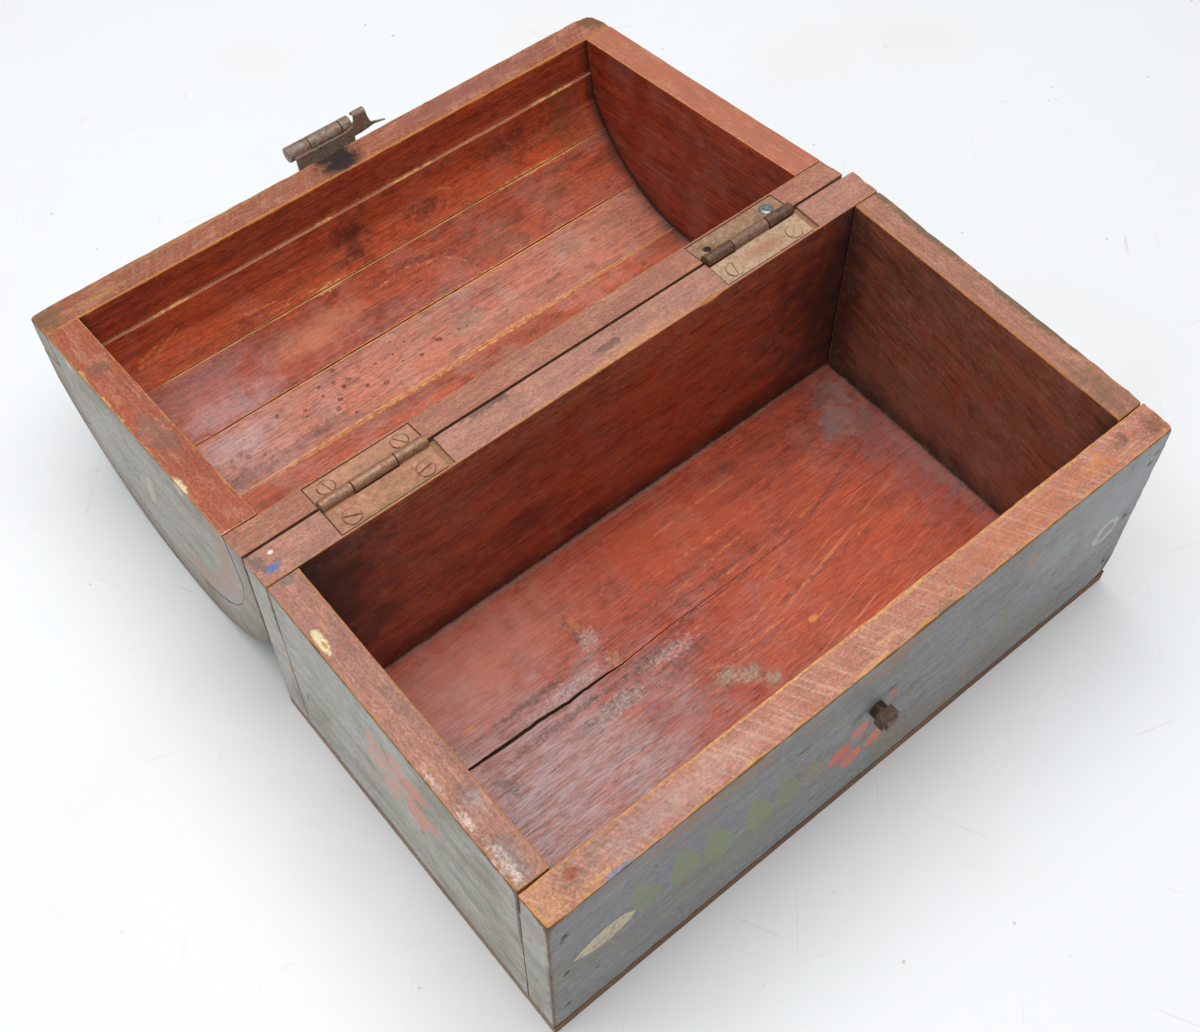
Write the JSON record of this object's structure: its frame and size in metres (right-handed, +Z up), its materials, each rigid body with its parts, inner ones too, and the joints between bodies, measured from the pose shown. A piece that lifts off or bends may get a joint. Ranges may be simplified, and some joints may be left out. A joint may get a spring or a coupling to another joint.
{
  "type": "round-top storage box",
  "caption": "Small nailed wooden storage box with a round-top lid of staves on iron butt hinges, shown open with the lid lying on its dome, and an iron hasp for a front stud.",
  "frame": {"origin": "centre of the base's underside, on the table", "axes": "+X along the box from its left end to its right end, +Y from the front board with the stud to the hinged back, +Z up; shown with the lid open"},
  "size_m": [0.244, 0.2946, 0.0933],
  "materials": {
    "base_wood": "worn old paint: grey-blue outside, brick red inside and on the rims, bare at the edges",
    "lid_wood": "worn brick-red paint inside, with orange rubbed streaks, grey-blue outside",
    "lid_end_wood": "worn paint: grey-blue outside, dark red inside",
    "floor_wood": "rubbed red paint with dusty grey wear, bare brown edges",
    "hinge_iron": "dark bronze-brown old iron with rust and overpaint",
    "hasp_iron": "grey-brown old iron with rust",
    "nail_iron": "dark rusty iron",
    "steel_screw": "dull zinc-plated steel"
  },
  "bodies": {
    "base": {"front_board": "base_wood", "back_board": "base_wood", "left_end_board": "base_wood", "right_end_board": "base_wood", "front_floor_board": "floor_wood", "back_floor_board": "floor_wood", "base_nails": "nail_iron", "floor_nails": "nail_iron", "left_hinge_base_leaf": "hinge_iron", "left_hinge_pin": "hinge_iron", "right_hinge_base_leaf": "hinge_iron", "base_hinge_screws": "hinge_iron", "hasp_stud": "hasp_iron"},
    "lid": {"lid_front_rail": "lid_wood", "lid_back_rail": "lid_wood", "lid_left_end": "lid_end_wood", "lid_right_end": "lid_end_wood", "stave_1": "lid_wood", "stave_2": "lid_wood", "stave_3": "lid_wood", "stave_4": "lid_wood", "stave_5": "lid_wood", "stave_6": "lid_wood", "lid_nails": "nail_iron", "left_hinge_lid_leaf": "hinge_iron", "right_hinge_lid_leaf": "hinge_iron", "right_hinge_pin": "hinge_iron", "lid_hinge_screws": "hinge_iron", "round_head_screw": "steel_screw", "hasp_plate": "hasp_iron", "hasp_nails": "nail_iron", "hasp_pin": "hasp_iron"},
    "hasp": {"hasp_strap": "hasp_iron"}
  },
  "joints": [
    {"name": "lid_hinge", "type": "hinge", "parent": "base", "child": "lid", "pos_m": [0, 0.0705, 0.0912], "axis": [1, 0, 0], "range_deg": [0, 188.58]},
    {"name": "hasp_hinge", "type": "hinge", "parent": "lid", "child": "hasp", "pos_m": [0, 0.21465, 0.07245], "axis": [1, 0, 0], "range_deg": [-15, 171.72]}
  ]
}
